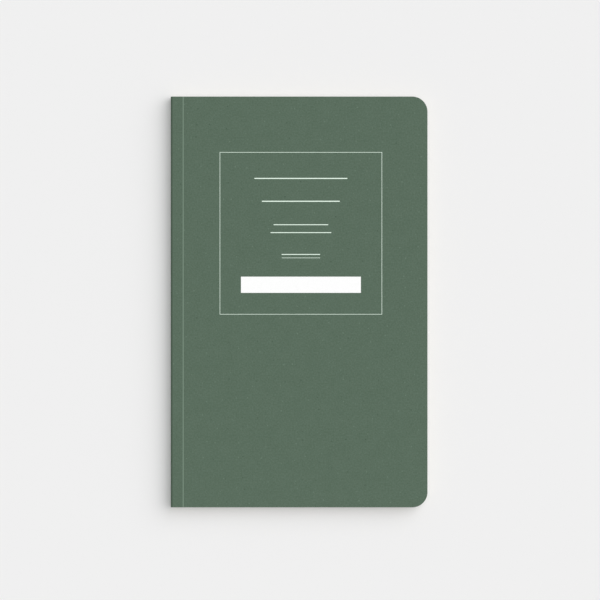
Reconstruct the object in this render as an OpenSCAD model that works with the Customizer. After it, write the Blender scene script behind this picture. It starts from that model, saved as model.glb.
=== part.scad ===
// Soft-cover notebook with a square glued spine, lying closed on its back cover.
// The origin is the middle of the underside of the back cover. +X points to the fore edge,
// +Y to the head and +Z up through the front cover. Sizes are in millimetres.

/* [Trim size] */
// Width of the closed notebook, from the spine to the fore edge
trim_w = 127; // [100:1:180]
// Height of the notebook, from head to tail
trim_h = 203.2; // [160:0.1:260]
// Radius of the two rounded corners at the fore edge
corner_r = 7.5; // [3:0.5:14]

/* [Pages] */
// Number of leaves in the page block
leaves = 48; // [24:1:80]
// Thickness of one leaf of uncoated writing paper
leaf_t = 0.125; // [0.1:0.005:0.2]
// Depth of the fine groove that shows between two leaves on the trimmed edges
leaf_groove_d = 0.06; // [0.03:0.01:0.15]
// Width of that groove
leaf_groove_w = 0.03; // [0.02:0.01:0.06]

/* [Cover] */
// Thickness of the cover card
cover_t = 0.4; // [0.25:0.05:0.8]
// Inner radius of the two folds along the spine
fold_r = 0.55; // [0.1:0.05:0.6]
// Distance from the spine to the pressed hinge line
hinge_x = 6.2; // [4:0.1:10]
// Width of the pressed hinge line
score_w = 0.7; // [0.4:0.1:1.2]
// Depth of the pressed hinge line
score_d = 0.12; // [0.05:0.01:0.2]

/* [Binding glue] */
// Thickness of the hot-melt glue between the pages and the spine
spine_glue_t = 0.6; // [0.4:0.05:1]
// Thickness of the glue film between the hinge strips and the outer leaves
side_glue_t = 0.1; // [0.05:0.01:0.2]
// How far the side glue stops short of the hinge line
side_glue_short = 1; // [0.5:0.1:2]

/* [Printed label] */
// Side of the square outline, over its lines
label_size = 80.3; // [60:0.1:90]
// Width of the outline's line
label_line = 0.2; // [0.15:0.05:0.8]
// Distance from the head edge down to the outline
label_drop = 27.5; // [15:0.5:50]
// How far the label's middle lies towards the fore edge from the cover's middle
label_shift = 0.9; // [-2:0.1:4]
// Distance from the outline's sides in to the ends of the white write-in field
field_inset = 10.5; // [4:0.25:20]
// Height of the white write-in field
field_h = 8; // [5:0.5:12]
// Distance from the outline's lower edge up to the write-in field
field_rise = 10.7; // [4:0.1:20]
// Thickness of the ink film
ink_t = 0.03; // [0.02:0.01:0.06]

/* [Label rules] */
// Length of the first title rule
title_rule_a = 46; // [20:1:56]
// Length of the second title rule
title_rule_b = 38.5; // [20:0.5:56]
// Thickness of the title rules
title_rule_t = 0.5; // [0.3:0.05:1]
// Distance from the outline's top down to the first title rule
title_drop = 13; // [8:0.5:16]
// Distance from the first title rule to the second
title_pitch = 11.3; // [6:0.1:14]
// Length of the upper note rule
note_rule_a = 27; // [10:1:56]
// Length of the lower note rule
note_rule_b = 30; // [10:1:56]
// Thickness of the note rules
note_rule_t = 0.4; // [0.2:0.05:0.8]
// How far the pair of note rules lies above the middle between the second title rule
// and the heading's underline
note_lift = 0.45; // [0:0.05:2]
// Distance from the upper note rule to the lower
note_pitch = 3.9; // [2:0.1:6]
// Length of the heading rule over the write-in field, and of its underline
heading_rule = 19; // [10:1:56]
// Thickness of the heading rule
heading_rule_t = 0.4; // [0.2:0.05:0.8]
// Thickness of the heading's underline
underline_t = 0.2; // [0.15:0.05:0.8]
// Distance from the heading rule down to its underline
underline_pitch = 1.7; // [1:0.1:4]
// Distance from the write-in field up to the heading's underline
heading_gap = 9.3; // [4:0.1:12]

/* [Hidden] */
$fn = 96;

// How far a cutter runs past the faces that it cuts
cut_over = 1;

// Levels of the stack, from the floor up
pages_t = leaves * leaf_t;
pages_z = cover_t + side_glue_t;
front_z = pages_z + pages_t + side_glue_t;
book_t = front_z + cover_t;

// Places along the width
spine_left = -trim_w / 2;
fore_edge = trim_w / 2;
hinge_line = spine_left + hinge_x;
pages_left = spine_left + cover_t + spine_glue_t;
side_glue_right = hinge_line - side_glue_short;

// Radius of the round tool that presses a line score_w wide and score_d deep
score_r = (score_w * score_w / 4 + score_d * score_d) / (2 * score_d);

// Middle of the label on the front cover
label_x = label_shift;
label_top = trim_h / 2 - label_drop;
label_bottom = label_top - label_size;

// Distances below the outline's top: the second title rule, the heading's underline and the
// middle of the two note rules between them
title_drop_b = title_drop + title_pitch;
underline_drop = label_size - field_rise - field_h - heading_gap;
notes_drop = (title_drop_b + underline_drop) / 2 - note_lift;

// Each printed rule: its length, its thickness and its distance below the outline's top
RULES = [
  [title_rule_a, title_rule_t, title_drop],
  [title_rule_b, title_rule_t, title_drop_b],
  [note_rule_a, note_rule_t, notes_drop - note_pitch / 2],
  [note_rule_b, note_rule_t, notes_drop + note_pitch / 2],
  [heading_rule, heading_rule_t, underline_drop - underline_pitch],
  [heading_rule, underline_t, underline_drop],
];

// Sheet from x = left to the fore edge, square at the left and rounded at the fore edge.
// The inset draws its three trimmed edges in by that much.
module trimmed_sheet(left, inset = 0) {
  half_h = trim_h / 2 - inset;
  right = fore_edge - inset;
  r = corner_r - inset;
  translate([left, -half_h]) square([right - r - left, 2 * half_h]);
  translate([right - r, -half_h + r]) square([r, 2 * (half_h - r)]);
  for (side = [-1, 1]) translate([right - r, side * (half_h - r)]) circle(r);
}

// Rectangle from x = left to x = right and from z = 0 to z = height, with the two corners
// on its left rounded
module left_rounded(left, right, height, r) {
  translate([left + r, 0]) square([right - left - r, height]);
  translate([left, r]) square([r, height - 2 * r]);
  for (z = [r, height - r]) translate([left + r, z]) circle(r);
}

// A section drawn in X and Z, carried along the whole spine
module along_spine() {
  translate([0, trim_h / 2, 0]) rotate([90, 0, 0]) linear_extrude(trim_h) children();
}

// The round tool that presses the hinge line into the face at height z; up is 1 on an
// upper face and -1 on a lower one
module score_tool(z, up) {
  translate([hinge_line, 0, z + up * (score_r - score_d)])
    rotate([90, 0, 0]) cylinder(r = score_r, h = trim_h + 2 * cut_over, center = true);
}

// Leaves cut flush with the cover, with a fine groove between each two
module page_block() {
  color("ivory") translate([0, 0, pages_z]) difference() {
    linear_extrude(pages_t) trimmed_sheet(pages_left);
    for (i = [1 : leaves - 1])
      translate([0, 0, i * leaf_t - leaf_groove_w / 2])
        linear_extrude(leaf_groove_w) difference() {
          translate([pages_left - cut_over, -trim_h / 2 - cut_over])
            square([trim_w + cut_over, trim_h + 2 * cut_over]);
          trimmed_sheet(pages_left - 2 * cut_over, leaf_groove_d);
        }
  }
}

// Section of the space inside the folded card, from the spine to x = right
module inside_wrap(right) {
  translate([0, cover_t])
    left_rounded(spine_left + cover_t, right, book_t - 2 * cover_t, fold_r);
}

// Hot-melt layer that joins the leaves' back edges to the spine and fills its two folds
module spine_glue() {
  color("wheat") along_spine() intersection() {
    inside_wrap(hinge_line);
    translate([spine_left, 0]) square([pages_left - spine_left, book_t]);
  }
}

// Film between a hinge strip and the leaf next to it, with its underside at height z
module side_glue(z) {
  color("wheat") translate([pages_left, -trim_h / 2, z])
    cube([side_glue_right - pages_left, trim_h, side_glue_t]);
}

// Spine and hinge strips, folded round the pages from one piece of card
module spine_wrap() {
  color([0.357, 0.431, 0.369]) difference() {
    along_spine() difference() {
      left_rounded(spine_left, hinge_line, book_t, fold_r + cover_t);
      inside_wrap(hinge_line + cut_over);
    }
    score_tool(book_t, 1);
    score_tool(0, -1);
  }
}

// Panel of cover card from the hinge line to the fore edge, with its underside at height z
module cover_panel(z) {
  translate([0, 0, z]) linear_extrude(cover_t) trimmed_sheet(hinge_line);
}

module front_cover() {
  color([0.357, 0.431, 0.369]) difference() {
    cover_panel(front_z);
    score_tool(book_t, 1);
  }
}

module back_cover() {
  color([0.357, 0.431, 0.369]) difference() {
    cover_panel(0);
    score_tool(0, -1);
  }
}

// Square outline of the label
module label_frame() {
  color("honeydew") translate([label_x, label_top - label_size / 2, book_t])
    linear_extrude(ink_t) difference() {
      square(label_size, center = true);
      square(label_size - 2 * label_line, center = true);
    }
}

// Plain printed rules, centred in the outline
module label_rules() {
  color("honeydew") for (rule = RULES)
    translate([label_x - rule[0] / 2, label_top - rule[2] - rule[1] / 2, book_t])
      cube([rule[0], rule[1], ink_t]);
}

// White field to write a subject in
module name_field() {
  field_w = label_size - 2 * field_inset;
  color("white") translate([label_x - field_w / 2, label_bottom + field_rise, book_t])
    cube([field_w, field_h, ink_t]);
}

page_block();
spine_glue();
side_glue(front_z - side_glue_t);  // front_side_glue
side_glue(cover_t);  // back_side_glue
spine_wrap();
back_cover();
front_cover();
label_frame();
label_rules();
name_field();
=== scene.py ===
import math

import bpy
import numpy as np
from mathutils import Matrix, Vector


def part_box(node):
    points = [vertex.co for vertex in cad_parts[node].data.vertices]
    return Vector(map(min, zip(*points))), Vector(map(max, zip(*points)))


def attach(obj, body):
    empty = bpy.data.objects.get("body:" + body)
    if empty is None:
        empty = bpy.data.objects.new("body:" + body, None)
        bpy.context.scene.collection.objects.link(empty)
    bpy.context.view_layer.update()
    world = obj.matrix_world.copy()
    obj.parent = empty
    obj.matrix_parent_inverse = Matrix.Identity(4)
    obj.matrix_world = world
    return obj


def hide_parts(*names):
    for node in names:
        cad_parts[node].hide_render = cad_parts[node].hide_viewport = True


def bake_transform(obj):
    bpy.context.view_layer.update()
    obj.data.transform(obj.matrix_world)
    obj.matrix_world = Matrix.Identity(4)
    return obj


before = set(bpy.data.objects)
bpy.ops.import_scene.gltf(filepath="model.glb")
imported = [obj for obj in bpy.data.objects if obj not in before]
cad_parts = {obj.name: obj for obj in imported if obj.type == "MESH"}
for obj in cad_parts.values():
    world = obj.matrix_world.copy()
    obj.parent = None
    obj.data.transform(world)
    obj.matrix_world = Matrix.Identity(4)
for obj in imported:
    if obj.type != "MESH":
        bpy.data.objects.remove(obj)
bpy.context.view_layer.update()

MM = 0.001

# Levels and places that the frame gives, in metres
cover_low, cover_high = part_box("front_cover")
pages_low, pages_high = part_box("page_block")
spine_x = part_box("spine_wrap")[0].x
half_h = cover_high.y
book_t = cover_high.z
card_t = cover_high.z - cover_low.z

# Sizes that no box gives
corner_r = 7.5 * MM
inner_fold_r = 0.55 * MM
fold_r = card_t + inner_fold_r
score_w = 0.7 * MM
score_d = 0.12 * MM
leaf_count = 48
leaf_groove_d = 0.06 * MM

# Cut edges: how far a guillotined card edge or a leaf's edge is rounded over
card_edge_r = 0.06 * MM
leaf_edge_r = 0.05 * MM

# The card's outer face, unrolled from the middle of the spine: where the flat panel starts,
# where the hinge line lies and where the fore edge lies
spine_rise = book_t / 2 - fold_r
panel_start = spine_rise + fold_r * math.pi / 2
hinge_at = panel_start + cover_low.x - spine_x - fold_r
fore_at = panel_start + cover_high.x - spine_x - fold_r

# The hinge: how far from its line the card bends, and how far the panel's own mesh goes past it
panel_overlap = 1.1 * MM

# Shares of the half height at which the card's grids have their rows, with one row close to
# each trimmed edge
edge_row = 0.997
inner_rows = 42
card_rows = np.concatenate([[-1], np.linspace(-edge_row, edge_row, inner_rows), [1]])

# The Mix node's sockets share their names, so they go by number: for numbers and for colours
NUMBER_A, NUMBER_B = 2, 3
COLOUR_A, COLOUR_B, COLOUR = 6, 7, 2


def outline(u, fore, inset):
    """Half the sheet's height at u, and the outline's outward direction there as two arrays.

    The height is constant up to the corner and then falls along a quarter circle about the
    corner's centre, with radius corner_r less the inset. The direction is the circle's radius."""
    radius = corner_r - inset
    past = np.clip(u - (fore - corner_r), 0, radius)
    rise = np.sqrt(radius**2 - past**2)
    return half_h - corner_r + rise, past / radius, rise / radius


def sheet_shell(u, v, fore, inset, face_depth, thickness, rim):
    """Closed sheet laid out flat: points (u, y, depth), quads and the part that each quad is on.

    Both faces are grids over u and v, where y is v times the half height at u. The trimmed edges
    are rings that follow the rim of the grid: a ring's point is the rim's point moved out along
    the outline by its out value, at its depth value, both given by rim(rim points of the outer
    face). The first station is a square edge, flat like the last one where fore is infinite.
    Parts are 0 for the outer face, 1 for the inner face and 2 for the rim."""
    height, out_u, out_y = outline(u, fore, inset)
    grid_u, grid_v = np.meshgrid(u, v, indexing="ij")
    grid_y = grid_v * height[:, None]
    last_i, last_j = len(u) - 1, len(v) - 1
    outer = np.stack([grid_u, grid_y, face_depth(grid_u)], -1).reshape(-1, 3)
    inner = np.stack([grid_u, grid_y, np.full_like(grid_u, thickness)], -1).reshape(-1, 3)

    # The rim runs along the low side, up the last station, back along the high side and down
    along, across = np.arange(last_i), np.arange(last_j)
    back, down = last_i - along, last_j - across
    rim_i = np.concatenate([along, np.full(last_j, last_i), back, np.zeros(last_j, int)])
    rim_j = np.concatenate([np.zeros(last_i, int), across, np.full(last_i, last_j), down])
    side = (rim_j == last_j) * 1.0 - (rim_j == 0)
    at_fore = (rim_i == last_i) & math.isfinite(fore)
    rim_u = np.where(side != 0, out_u[rim_i], at_fore)
    rim_y = side * out_y[rim_i]
    rim_index = rim_i * len(v) + rim_j
    base = outer[rim_index]
    out, depth = rim(base)
    rings = np.stack([base[:, 0] + rim_u * out, base[:, 1] + rim_y * out, depth], -1)

    cells = np.arange(len(outer)).reshape(len(u), len(v))
    corners = [cells[:-1, :-1], cells[1:, :-1], cells[1:, 1:], cells[:-1, 1:]]
    outer_quads = np.stack([corner.ravel() for corner in corners], -1)
    inner_quads = outer_quads[:, ::-1] + len(outer)
    ring_index = 2 * len(outer) + np.arange(out.size).reshape(out.shape)
    loops = np.vstack([rim_index, ring_index, rim_index + len(outer)])
    after = np.roll(loops, -1, axis=1)
    rim_quads = np.stack([loops[:-1], loops[1:], after[1:], after[:-1]], -1).reshape(-1, 4)
    points = np.vstack([outer, inner, rings.reshape(-1, 3)])
    quads = np.vstack([outer_quads, inner_quads, rim_quads])
    part = np.repeat([0, 1, 2], [len(outer_quads), len(inner_quads), len(rim_quads)])
    return points, quads, part


def mesh_piece(name, points, quads, part, materials, pattern=None):
    """Mesh object from arrays, with one material for each part, shaded smooth up to 40 degrees.
    The pattern, one point for each vertex, is stored in millimetres as the attribute flat_mm."""
    sharp_angle = math.radians(40)
    mesh = bpy.data.meshes.new(name)
    mesh.from_pydata(points.tolist(), [], quads.tolist())
    for material in materials:
        mesh.materials.append(material)
    mesh.polygons.foreach_set("material_index", part.astype(np.int32))
    mesh.polygons.foreach_set("use_smooth", np.ones(len(quads), bool))
    if pattern is not None:
        attribute = mesh.attributes.new("flat_mm", "FLOAT_VECTOR", "POINT")
        attribute.data.foreach_set("vector", (pattern / MM).astype(np.float32).ravel())
    mesh.set_sharp_from_angle(angle=sharp_angle)
    mesh.update()
    piece = bpy.data.objects.new(name, mesh)
    bpy.context.scene.collection.objects.link(piece)
    return piece


def folded(flat):
    """Points (s, y, depth) of the unrolled card, wrapped round the pages.

    The outer face runs from the middle of the spine straight up, round a quarter circle of
    fold_r and straight on to the fore edge, and depth goes inwards along its normal. A negative
    s gives the same path down the spine and along the back."""
    s, y, depth = flat.T
    side = np.where(s < 0, -1.0, 1.0)
    turn = np.clip((np.abs(s) - spine_rise) / fold_r, 0, math.pi / 2)
    run = np.maximum(np.abs(s) - panel_start, 0)
    rise = np.minimum(np.abs(s), spine_rise)
    x = spine_x + fold_r - (fold_r - depth) * np.cos(turn) + run
    z = rise + (fold_r - depth) * np.sin(turn)
    return np.stack([x, y, book_t / 2 + side * z], -1)


def score_depth(u):
    """Depth of the hinge line at u: the arc of a round tool, pressed score_w wide and score_d
    deep into the card. The tool's radius is the half width squared plus the depth squared, over
    twice the depth."""
    tool_r = (score_w**2 / 4 + score_d**2) / (2 * score_d)
    off = np.minimum(np.abs(np.abs(u) - hinge_at), score_w / 2)
    return np.sqrt(tool_r**2 - off**2) - (tool_r - score_d)


def card_rim(base):
    """Rings of a cut card edge: a quarter round at each face, drawn at these three angles, with
    the flat cut between them."""
    turn = np.radians([60, 30, 0])[:, None]
    out = card_edge_r * np.cos(turn) + 0 * base[:, 0]
    over = card_edge_r * (1 - np.sin(turn))
    depth = np.vstack([base[:, 2] + over, card_t - over[::-1] + 0 * base[:, 2]])
    return np.vstack([out, out[::-1]]), depth


def corner_stations(fore, inset, steps):
    """Stations through the rounded corner, evenly spaced along its arc."""
    angle = np.linspace(0, math.pi / 2, steps + 1)[1:]
    return fore - corner_r + (corner_r - inset) * np.sin(angle)


def card_panel(name, side, material, edge_material):
    """Cover panel with its share of the hinge strip, from panel_overlap before the hinge line to
    the fore edge. Side is 1 for the front and -1 for the back."""
    bend_steps, open_steps, corner_steps = 44, 32, 14
    near = np.linspace(hinge_at - panel_overlap, hinge_at + panel_overlap, bend_steps + 1)
    open_card = np.linspace(near[-1], fore_at - corner_r, open_steps + 1)[1:]
    u = np.concatenate([near, open_card, corner_stations(fore_at, card_edge_r, corner_steps)])
    flat, quads, part = sheet_shell(
        u, card_rows, fore_at, card_edge_r, score_depth, card_t, card_rim
    )
    flat[:, 0] *= side
    quads = quads[:, ::side]
    return mesh_piece(name, folded(flat), quads, part, [material, material, edge_material], flat)


def card_spine(name, material, edge_material):
    """Spine and hinge strips, between the two panels' meshes."""
    rise_steps, fold_steps, strip_steps = 4, 10, 7
    rise = np.linspace(0, spine_rise, rise_steps + 1)[1:-1]
    fold = np.linspace(spine_rise, panel_start, fold_steps + 1)[:-1]
    strip = np.linspace(panel_start, hinge_at - panel_overlap, strip_steps + 1)
    half = np.concatenate([rise, fold, strip])
    u = np.concatenate([-half[::-1], [0], half])
    flat, quads, part = sheet_shell(
        u, card_rows, math.inf, card_edge_r, score_depth, card_t, card_rim
    )
    return mesh_piece(name, folded(flat), quads, part, [material, material, edge_material], flat)


def leaf_rim(base):
    """Rings of the trimmed page block: each leaf has a cut edge between two shoulders, and a
    groove lies between each leaf and the next.

    Each leaf's edge is drawn back by its own amount, up to drawn_most mm, which also drifts along
    the edge as a sum of two sines. The leaves' levels wander together as a sum of three sines,
    most in the middle of the block. The sines' counts are whole waves along the rim."""
    rng = np.random.default_rng(96)
    shoulder = 0.14
    drawn_most = 0.03
    drift_size, drift_waves = 0.004 * MM, (5, 13)
    wander_size, wander_waves = 0.05 * MM, ((7, 0), (11, 2), (29, 1))
    thickness = (pages_high.z - pages_low.z) / leaf_count
    around = np.linspace(0, 2 * math.pi, base.shape[0], endpoint=False)
    leaf = np.arange(leaf_count)[:, None]
    phase = rng.uniform(0, 2 * math.pi, (len(drift_waves), leaf_count, 1))
    drift = sum(np.sin(count * around + start) for count, start in zip(drift_waves, phase))
    drawn_back = rng.uniform(0.0, drawn_most, (leaf_count, 1)) * MM + drift_size * (2 + drift)
    edge = leaf_edge_r - drawn_back
    groove = np.full_like(edge, leaf_edge_r - leaf_groove_d)
    waves = sum(np.sin(count * around + start) for count, start in wander_waves)
    level = leaf + np.array([shoulder, 1 - shoulder, 1.0])[:, None, None]
    depth = level * thickness + wander_size * waves * np.sin(math.pi * level / leaf_count)
    out = np.stack([edge, edge, groove])
    rings = np.stack([out, depth], 0).transpose(0, 2, 1, 3).reshape(2, 3 * leaf_count, -1)
    return rings[0, :-1], rings[1, :-1]


def leaf_block(name, page_material, edge_material):
    """The trimmed leaves, glued into one block: flat pages on top and below, and a cut edge for
    each leaf on the three trimmed sides."""
    page_steps, corner_steps, row_steps = 33, 12, 40
    fore = pages_high.x
    across = np.linspace(pages_low.x, fore - corner_r, page_steps + 1)
    u = np.concatenate([across, corner_stations(fore, leaf_edge_r, corner_steps)])
    rows = np.linspace(-1, 1, row_steps + 1)
    thickness = pages_high.z - pages_low.z
    flat, quads, part = sheet_shell(u, rows, fore, leaf_edge_r, np.zeros_like, thickness, leaf_rim)
    points = flat * [1, 1, -1] + [0, 0, pages_high.z]
    return mesh_piece(name, points, quads, part, [page_material, page_material, edge_material])


def linear(colour):
    """sRGB hex string as linear red, green, blue and alpha, by the curve of the sRGB standard."""
    channels = [int(colour[i : i + 2], 16) / 255 for i in (1, 3, 5)]
    return [c / 12.92 if c <= 0.04045 else ((c + 0.055) / 1.055) ** 2.4 for c in channels] + [1.0]


def add(tree, kind, inputs=None, **settings):
    """Adds a node with its settings. Each input is a socket to link from, or a fixed value."""
    node = tree.nodes.new(kind)
    for name, value in settings.items():
        setattr(node, name, value)
    for key, value in (inputs or {}).items():
        if isinstance(value, bpy.types.NodeSocket):
            tree.links.new(value, node.inputs[key])
        else:
            node.inputs[key].default_value = value
    return node


def new_material(name):
    """Empty node material and its tree."""
    material = bpy.data.materials.new(name)
    material.use_nodes = True
    material.node_tree.nodes.clear()
    return material, material.node_tree


def surface(tree, colour, roughness, height, bump_depth, specular, ior=1.5):
    """Ends a material: its colour and roughness on one shader, with bump_depth metres of bump
    from the height."""
    bump = add(tree, "ShaderNodeBump", {"Height": height, "Strength": 1.0, "Distance": bump_depth})
    shader = add(
        tree,
        "ShaderNodeBsdfPrincipled",
        {
            "Base Color": colour,
            "Roughness": roughness,
            "Specular IOR Level": specular,
            "IOR": ior,
            "Normal": bump.outputs["Normal"],
        },
    )
    add(tree, "ShaderNodeOutputMaterial", {"Surface": shader.outputs["BSDF"]})


def flecked(tree, flat, ground, bark, undyed):
    """Ground colour with the flecks that pulp leaves in card: one or two to a square centimetre,
    half a millimetre across, of dark bark or, twice as often, of fibre that took little dye.

    A fleck is the middle of a cell of spacing mm. The cell's own random green gives its size, and
    its red says whether it is bark. The plane is bent by a noise first, so that the flecks are
    ragged."""
    spacing = 7.5
    radius = 0.3
    smallest, largest = 0.7 * radius, 1.3 * radius
    core, rim = 0.6, 1.2
    bark_share = 1 / 3
    bend_size = 0.5
    bend = [2.5 * radius] * 3
    wobble = add(
        tree,
        "ShaderNodeTexNoise",
        {"Vector": flat, "Scale": 1 / bend_size, "Detail": 1.0},
    )
    bent = add(
        tree,
        "ShaderNodeVectorMath",
        {0: wobble.outputs["Color"], 1: bend, 2: flat},
        operation="MULTIPLY_ADD",
    )
    cell = add(
        tree,
        "ShaderNodeTexVoronoi",
        {"Vector": bent.outputs[0], "Scale": 1 / spacing},
        voronoi_dimensions="2D",
    )
    chance = add(tree, "ShaderNodeSeparateColor", {0: cell.outputs["Color"]})
    reach = add(
        tree,
        "ShaderNodeMapRange",
        {
            "Value": chance.outputs["Green"],
            "To Min": smallest / spacing,
            "To Max": largest / spacing,
        },
    )
    outward = add(
        tree,
        "ShaderNodeMath",
        {0: cell.outputs["Distance"], 1: reach.outputs[0]},
        operation="DIVIDE",
    )
    cover = add(
        tree,
        "ShaderNodeMapRange",
        {
            "Value": outward.outputs[0],
            "From Min": core,
            "From Max": rim,
            "To Min": 1.0,
            "To Max": 0.0,
        },
        interpolation_type="SMOOTHSTEP",
    )
    pale = add(
        tree,
        "ShaderNodeMath",
        {0: chance.outputs["Red"], 1: bark_share},
        operation="GREATER_THAN",
    )
    fleck = add(
        tree,
        "ShaderNodeMix",
        {"Factor": pale.outputs[0], COLOUR_A: linear(bark), COLOUR_B: linear(undyed)},
        data_type="RGBA",
    )
    return add(
        tree,
        "ShaderNodeMix",
        {"Factor": cover.outputs[0], COLOUR_A: ground, COLOUR_B: fleck.outputs[COLOUR]},
        data_type="RGBA",
    )


def felt_card(name, dark, light, crease_highlight, painted_fold_shade, bark, undyed):
    """Mass-dyed cover card, pressed by a woven felt while wet and left uncoated: matte, with a
    fine uneven grain and sparse flecks. Its colour is paler along the hinge line, as a painted
    highlight, and deeper along the two spine folds, as painted shade.

    The relief is a mix of three noises: the felt's grain, wide clouds and single fibres. It moves
    the colour from dark to light and is the height of the bump. The noises' sizes are in mm. Each
    line's tone fades with the distance from the middle of the line, on the front and the back."""
    grain_size, cloud_size, fibre_size = 0.8, 7.0, 0.14
    cloud_share, fibre_share = 0.15, 0.2
    smoothest, roughest = 0.82, 0.97
    # Painted highlight on the hinge line: full over score_core, fading out by half the score's
    # width
    score_core = 0.15 * MM
    # Painted shade on the spine folds: full within fold_core of the fold's middle, gone by
    # fold_reach
    fold_middle = panel_start - fold_r * math.pi / 4
    fold_core, fold_reach = 0.5 * MM, 0.9 * MM
    material, tree = new_material(name)
    flat = add(tree, "ShaderNodeAttribute", attribute_name="flat_mm").outputs["Vector"]
    grain = add(
        tree,
        "ShaderNodeTexNoise",
        {"Vector": flat, "Scale": 1 / grain_size, "Detail": 3.0, "Roughness": 0.7},
    )
    cloud = add(
        tree,
        "ShaderNodeTexNoise",
        {"Vector": flat, "Scale": 1 / cloud_size, "Detail": 3.0, "Roughness": 0.6},
    )
    fibre = add(
        tree,
        "ShaderNodeTexNoise",
        {"Vector": flat, "Scale": 1 / fibre_size, "Detail": 2.0, "Roughness": 0.6},
    )
    coarse = add(
        tree,
        "ShaderNodeMix",
        {"Factor": cloud_share, NUMBER_A: grain.outputs[0], NUMBER_B: cloud.outputs[0]},
    )
    relief = add(
        tree,
        "ShaderNodeMix",
        {"Factor": fibre_share, NUMBER_A: coarse.outputs[0], NUMBER_B: fibre.outputs[0]},
    )
    share = add(
        tree,
        "ShaderNodeMapRange",
        {"Value": relief.outputs[0], "From Min": 0.32, "From Max": 0.68},
    )
    dyed = add(
        tree,
        "ShaderNodeMix",
        {"Factor": share.outputs[0], COLOUR_A: linear(dark), COLOUR_B: linear(light)},
        data_type="RGBA",
    )
    place = add(tree, "ShaderNodeSeparateXYZ", {0: flat})
    reach = add(tree, "ShaderNodeMath", {0: place.outputs[0]}, operation="ABSOLUTE")
    toned = flecked(tree, flat, dyed.outputs[COLOUR], bark, undyed)
    # Painted highlight along the hinge line and painted shade along the spine folds
    for line, core, half_width, tone in (
        (hinge_at, score_core, score_w / 2, crease_highlight),
        (fold_middle, fold_core, fold_reach, painted_fold_shade),
    ):
        off = add(
            tree,
            "ShaderNodeMath",
            {0: reach.outputs[0], 1: line / MM},
            operation="SUBTRACT",
        )
        distance = add(tree, "ShaderNodeMath", {0: off.outputs[0]}, operation="ABSOLUTE")
        near = add(
            tree,
            "ShaderNodeMapRange",
            {
                "Value": distance.outputs[0],
                "From Min": core / MM,
                "From Max": half_width / MM,
                "To Min": 1.0,
                "To Max": 0.0,
            },
            interpolation_type="SMOOTHSTEP",
        )
        toned = add(
            tree,
            "ShaderNodeMix",
            {"Factor": near.outputs[0], COLOUR_A: toned.outputs[COLOUR], COLOUR_B: linear(tone)},
            data_type="RGBA",
        )
    rough = add(
        tree,
        "ShaderNodeMapRange",
        {"Value": grain.outputs[0], "To Min": smoothest, "To Max": roughest},
    )
    surface(
        tree,
        toned.outputs[COLOUR],
        roughness=rough.outputs[0],
        height=relief.outputs[0],
        bump_depth=0.025 * MM,
        specular=0.25,
    )
    return material


def cut_card(name, dark, light):
    """Guillotined edge of the same card: torn fibres catch the light, so it is a little paler."""
    fibre_size = 0.2
    material, tree = new_material(name)
    flat = add(tree, "ShaderNodeAttribute", attribute_name="flat_mm").outputs["Vector"]
    fibre = add(
        tree,
        "ShaderNodeTexNoise",
        {"Vector": flat, "Scale": 1 / fibre_size, "Detail": 3.0, "Roughness": 0.6},
    )
    tone = add(
        tree,
        "ShaderNodeMix",
        {"Factor": fibre.outputs[0], COLOUR_A: linear(dark), COLOUR_B: linear(light)},
        data_type="RGBA",
    )
    surface(
        tree,
        tone.outputs[COLOUR],
        roughness=0.95,
        height=fibre.outputs[0],
        bump_depth=0.02 * MM,
        specular=0.2,
    )
    return material


def ruled_page(name, dark, light, ink):
    """Uncoated writing paper with pale ruled lines: matte, softly clouded by its fibres.

    Sizes are in mm. A line lies where the distance below the first one is a whole number of
    pitches, up to the last line."""
    fibre_size = 0.8
    head_margin, line_pitch, line_count = 20.0, 7.1, 25
    line_core, line_edge, ink_share = 0.08, 0.14, 0.8
    first_line = half_h / MM - head_margin
    half_run = (line_count - 1) * line_pitch / 2
    material, tree = new_material(name)
    coords = add(tree, "ShaderNodeTexCoord").outputs["Object"]
    place = add(tree, "ShaderNodeVectorMath", {0: coords, "Scale": 1 / MM}, operation="SCALE")
    fibre = add(
        tree,
        "ShaderNodeTexNoise",
        {"Vector": place.outputs[0], "Scale": 1 / fibre_size, "Detail": 4.0, "Roughness": 0.7},
    )
    tone = add(
        tree,
        "ShaderNodeMix",
        {"Factor": fibre.outputs[0], COLOUR_A: linear(dark), COLOUR_B: linear(light)},
        data_type="RGBA",
    )
    y = add(tree, "ShaderNodeSeparateXYZ", {0: place.outputs[0]}).outputs[1]
    below = add(tree, "ShaderNodeMath", {0: first_line, 1: y}, operation="SUBTRACT")
    away = add(
        tree,
        "ShaderNodeMath",
        {0: below.outputs[0], 1: line_pitch / 2},
        operation="PINGPONG",
    )
    line = add(
        tree,
        "ShaderNodeMapRange",
        {
            "Value": away.outputs[0],
            "From Min": line_core,
            "From Max": line_edge,
            "To Min": ink_share,
            "To Max": 0.0,
        },
    )
    within = add(
        tree,
        "ShaderNodeMath",
        {0: below.outputs[0], 1: half_run, 2: half_run + 1},
        operation="COMPARE",
    )
    inked = add(
        tree,
        "ShaderNodeMath",
        {0: line.outputs[0], 1: within.outputs[0]},
        operation="MULTIPLY",
    )
    printed = add(
        tree,
        "ShaderNodeMix",
        {"Factor": inked.outputs[0], COLOUR_A: tone.outputs[COLOUR], COLOUR_B: linear(ink)},
        data_type="RGBA",
    )
    surface(
        tree,
        printed.outputs[COLOUR],
        roughness=0.9,
        height=fibre.outputs[0],
        bump_depth=0.008 * MM,
        specular=0.25,
    )
    return material


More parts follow.
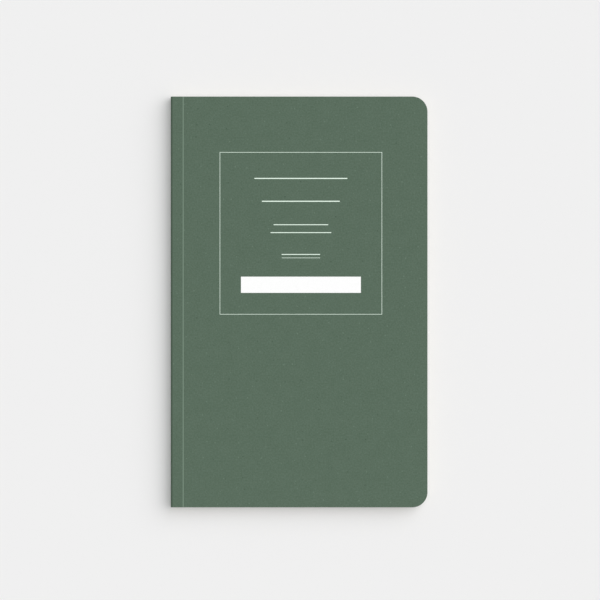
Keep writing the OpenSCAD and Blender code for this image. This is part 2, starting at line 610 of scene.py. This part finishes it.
def leaf_edges(name, dark, light):
    """Cut edges of a block of leaves: level lines as long as the block, paler and darker as the
    blade pressed the leaves together, two or three leaves thick so that they show from a step
    away. A short fuzz of cut fibres lies over them. Lines and fuzz are noises, each with its
    length, thickness and detail."""
    lines = (600 * MM, 0.3 * MM, 3.0)
    fuzz = (1.2 * MM, 0.1 * MM, 1.0)
    fuzz_share = 0.25
    material, tree = new_material(name)
    coords = add(tree, "ShaderNodeTexCoord").outputs["Object"]
    stretched = []
    for length, thickness, detail in (lines, fuzz):
        scale = [1 / length, 1 / length, 1 / thickness]
        place = add(tree, "ShaderNodeVectorMath", {0: coords, 1: scale}, operation="MULTIPLY")
        noise = add(
            tree,
            "ShaderNodeTexNoise",
            {"Vector": place.outputs[0], "Scale": 1.0, "Detail": detail, "Roughness": 0.7},
        )
        stretched.append(noise.outputs[0])
    line = add(
        tree,
        "ShaderNodeMix",
        {"Factor": fuzz_share, NUMBER_A: stretched[0], NUMBER_B: stretched[1]},
    )
    share = add(
        tree,
        "ShaderNodeMapRange",
        {"Value": line.outputs[0], "From Min": 0.38, "From Max": 0.6},
    )
    tone = add(
        tree,
        "ShaderNodeMix",
        {"Factor": share.outputs[0], COLOUR_A: linear(dark), COLOUR_B: linear(light)},
        data_type="RGBA",
    )
    surface(
        tree,
        tone.outputs[COLOUR],
        roughness=0.95,
        height=line.outputs[0],
        bump_depth=0.015 * MM,
        specular=0.2,
    )
    return material


def hot_melt(name, dark, light):
    """Hot-melt binding glue, spread molten and set: satin, yellowish and slightly lumpy."""
    lump_size = 1.5 * MM
    material, tree = new_material(name)
    coords = add(tree, "ShaderNodeTexCoord").outputs["Object"]
    lump = add(
        tree,
        "ShaderNodeTexNoise",
        {"Vector": coords, "Scale": 1 / lump_size, "Detail": 2.0, "Roughness": 0.5},
    )
    tone = add(
        tree,
        "ShaderNodeMix",
        {"Factor": lump.outputs[0], COLOUR_A: linear(dark), COLOUR_B: linear(light)},
        data_type="RGBA",
    )
    surface(
        tree,
        tone.outputs[COLOUR],
        roughness=0.4,
        height=lump.outputs[0],
        bump_depth=0.05 * MM,
        specular=0.5,
        ior=1.48,
    )
    return material


def screen_ink(name, thin, full):
    """Screen-printed ink on rough card: a matte film, thinner over the grain's hollows."""
    grain_size = 0.4 * MM
    material, tree = new_material(name)
    coords = add(tree, "ShaderNodeTexCoord").outputs["Object"]
    grain = add(
        tree,
        "ShaderNodeTexNoise",
        {"Vector": coords, "Scale": 1 / grain_size, "Detail": 3.0, "Roughness": 0.6},
    )
    cover = add(
        tree,
        "ShaderNodeMapRange",
        {"Value": grain.outputs[0], "From Min": 0.25, "From Max": 0.5},
    )
    tone = add(
        tree,
        "ShaderNodeMix",
        {"Factor": cover.outputs[0], COLOUR_A: linear(thin), COLOUR_B: linear(full)},
        data_type="RGBA",
    )
    surface(
        tree,
        tone.outputs[COLOUR],
        roughness=0.7,
        height=grain.outputs[0],
        bump_depth=0.01 * MM,
        specular=0.3,
    )
    return material


def seen_share(tree):
    """1 for a ray that shows the background, from the camera or by gloss or glass, else 0."""
    path = add(tree, "ShaderNodeLightPath")
    gloss = add(
        tree,
        "ShaderNodeMath",
        {0: path.outputs["Is Camera Ray"], 1: path.outputs["Is Glossy Ray"]},
        operation="MAXIMUM",
    )
    glass = add(
        tree,
        "ShaderNodeMath",
        {0: gloss.outputs[0], 1: path.outputs["Is Transmission Ray"]},
        operation="MAXIMUM",
    )
    return glass.outputs[0]


def sun(name, share, towards, width):
    """Sun that gives the floor this share of its light, from this direction and this many
    degrees wide."""
    light = bpy.data.lights.new(name, "SUN")
    direction = np.array(towards) / np.linalg.norm(towards)
    light.energy = math.pi * share / direction[2]
    light.angle = math.radians(width)
    lamp = bpy.data.objects.new(name, light)
    lamp.rotation_euler = (0, math.acos(direction[2]), math.atan2(direction[1], direction[0]))
    bpy.context.scene.collection.objects.link(lamp)


# Pieces
card = felt_card(
    "felt_marked_card",
    dark="#4C604F",
    light="#617465",
    # The hinge line's tone is a painted highlight
    crease_highlight="#788C7C",
    # The spine folds' tone is painted shade
    painted_fold_shade="#4C5E4F",
    bark="#485B4C",
    undyed="#657969",
)
card_edge = cut_card("cut_card_edge", dark="#57695A", light="#697B6B")
page = ruled_page("ruled_writing_paper", dark="#EFEADC", light="#F5F1E6", ink="#A9B8C4")
page_edge = leaf_edges("cut_leaf_edges", dark="#DAD4C8", light="#F6F2E9")
glue = hot_melt("set_hot_melt_glue", dark="#D2C7A2", light="#DED5B6")
line_ink = screen_ink("pale_screen_ink", thin="#D9ECDD", full="#ECFCEF")
white_ink = screen_ink("white_screen_ink", thin="#F8FAF8", full="#FEFEFE")

front_card = card_panel("front_cover_card", 1, card, card_edge)
back_card = card_panel("back_cover_card", -1, card, card_edge)
spine_card = card_spine("spine_card", card, card_edge)
leaves = leaf_block("leaves", page, page_edge)

for piece, body, level in ((front_card, "front", book_t), (back_card, "back", 0.0)):
    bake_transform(piece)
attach(spine_card, "block")
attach(leaves, "block")
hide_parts("front_cover")
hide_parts("back_cover")
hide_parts("spine_wrap")
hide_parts("page_block")

dressed = {
    "spine_glue": ("binding_glue", glue),
    "front_side_glue": ("binding_glue", glue),
    "back_side_glue": ("binding_glue", glue),
    "label_frame": ("outline_ink", line_ink),
    "label_rules": ("outline_ink", line_ink),
    "name_field": ("white_ink", white_ink),
}
for node, (slot, material) in dressed.items():
    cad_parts[node].material_slots[0].material = material

# Floor: it lies a card's thickness below the notebook, which leaves room for the back cover when
# it is opened flat. It is seen in the background's colour, and scatters light by a darker one
background = linear("#F0F0F0")
floor_paint = linear("#DADADA")
floor_drop = card_t + 0.02 * MM
floor_half = 15.0
signs = [(-1, -1), (1, -1), (1, 1), (-1, 1)]
floor_corners = [(sx * floor_half, sy * floor_half, -floor_drop) for sx, sy in signs]
floor_mesh = bpy.data.meshes.new("floor")
floor_mesh.from_pydata(floor_corners, [], [(0, 1, 2, 3)])
floor = bpy.data.objects.new("floor", floor_mesh)
bpy.context.scene.collection.objects.link(floor)
paint, tree = new_material("pale_floor")
seen_floor = add(tree, "ShaderNodeBsdfDiffuse", {"Color": background})
lit_floor = add(tree, "ShaderNodeBsdfDiffuse", {"Color": floor_paint})
matte = add(
    tree,
    "ShaderNodeMixShader",
    {0: seen_share(tree), 1: lit_floor.outputs[0], 2: seen_floor.outputs[0]},
)
add(tree, "ShaderNodeOutputMaterial", {"Surface": matte.outputs[0]})
floor_mesh.materials.append(paint)

# Light: the shares of the dome, the window-like soft light and the overhead light add up to the
# level at which a colour on the floor renders as it is written
dome_share = 0.46
soft_share = 0.38
overhead_share = 1 - dome_share - soft_share
sun("soft_light", soft_share, towards=(0.75, 0.5, 1.0), width=66)
sun("overhead_light", overhead_share, towards=(0.0, 0.0, 1.0), width=4)

world = bpy.data.worlds.new("studio")
bpy.context.scene.world = world
world.use_nodes = True
world.node_tree.nodes.clear()
tree = world.node_tree
dome = add(tree, "ShaderNodeBackground", {"Color": [1, 1, 1, 1], "Strength": dome_share})
seen = add(tree, "ShaderNodeBackground", {"Color": background, "Strength": 1.0})
mixed = add(
    tree,
    "ShaderNodeMixShader",
    {0: seen_share(tree), 1: dome.outputs[0], 2: seen.outputs[0]},
)
add(tree, "ShaderNodeOutputWorld", {"Surface": mixed.outputs[0]})

# Camera: straight above, with a long lens, so far off that the picture is view_width wide at the
# level of the front cover
view_width = 296.8 * MM
view_centre = (0.45 * MM, 0.96 * MM)
camera_data = bpy.data.cameras.new("camera")
camera_data.lens = 200
camera_data.sensor_width = 36
camera = bpy.data.objects.new("camera", camera_data)
camera_rise = view_width * camera_data.lens / camera_data.sensor_width
camera.location = (*view_centre, book_t + camera_rise)
bpy.context.scene.collection.objects.link(camera)
bpy.context.scene.camera = camera

bpy.context.scene.view_settings.view_transform = "Standard"
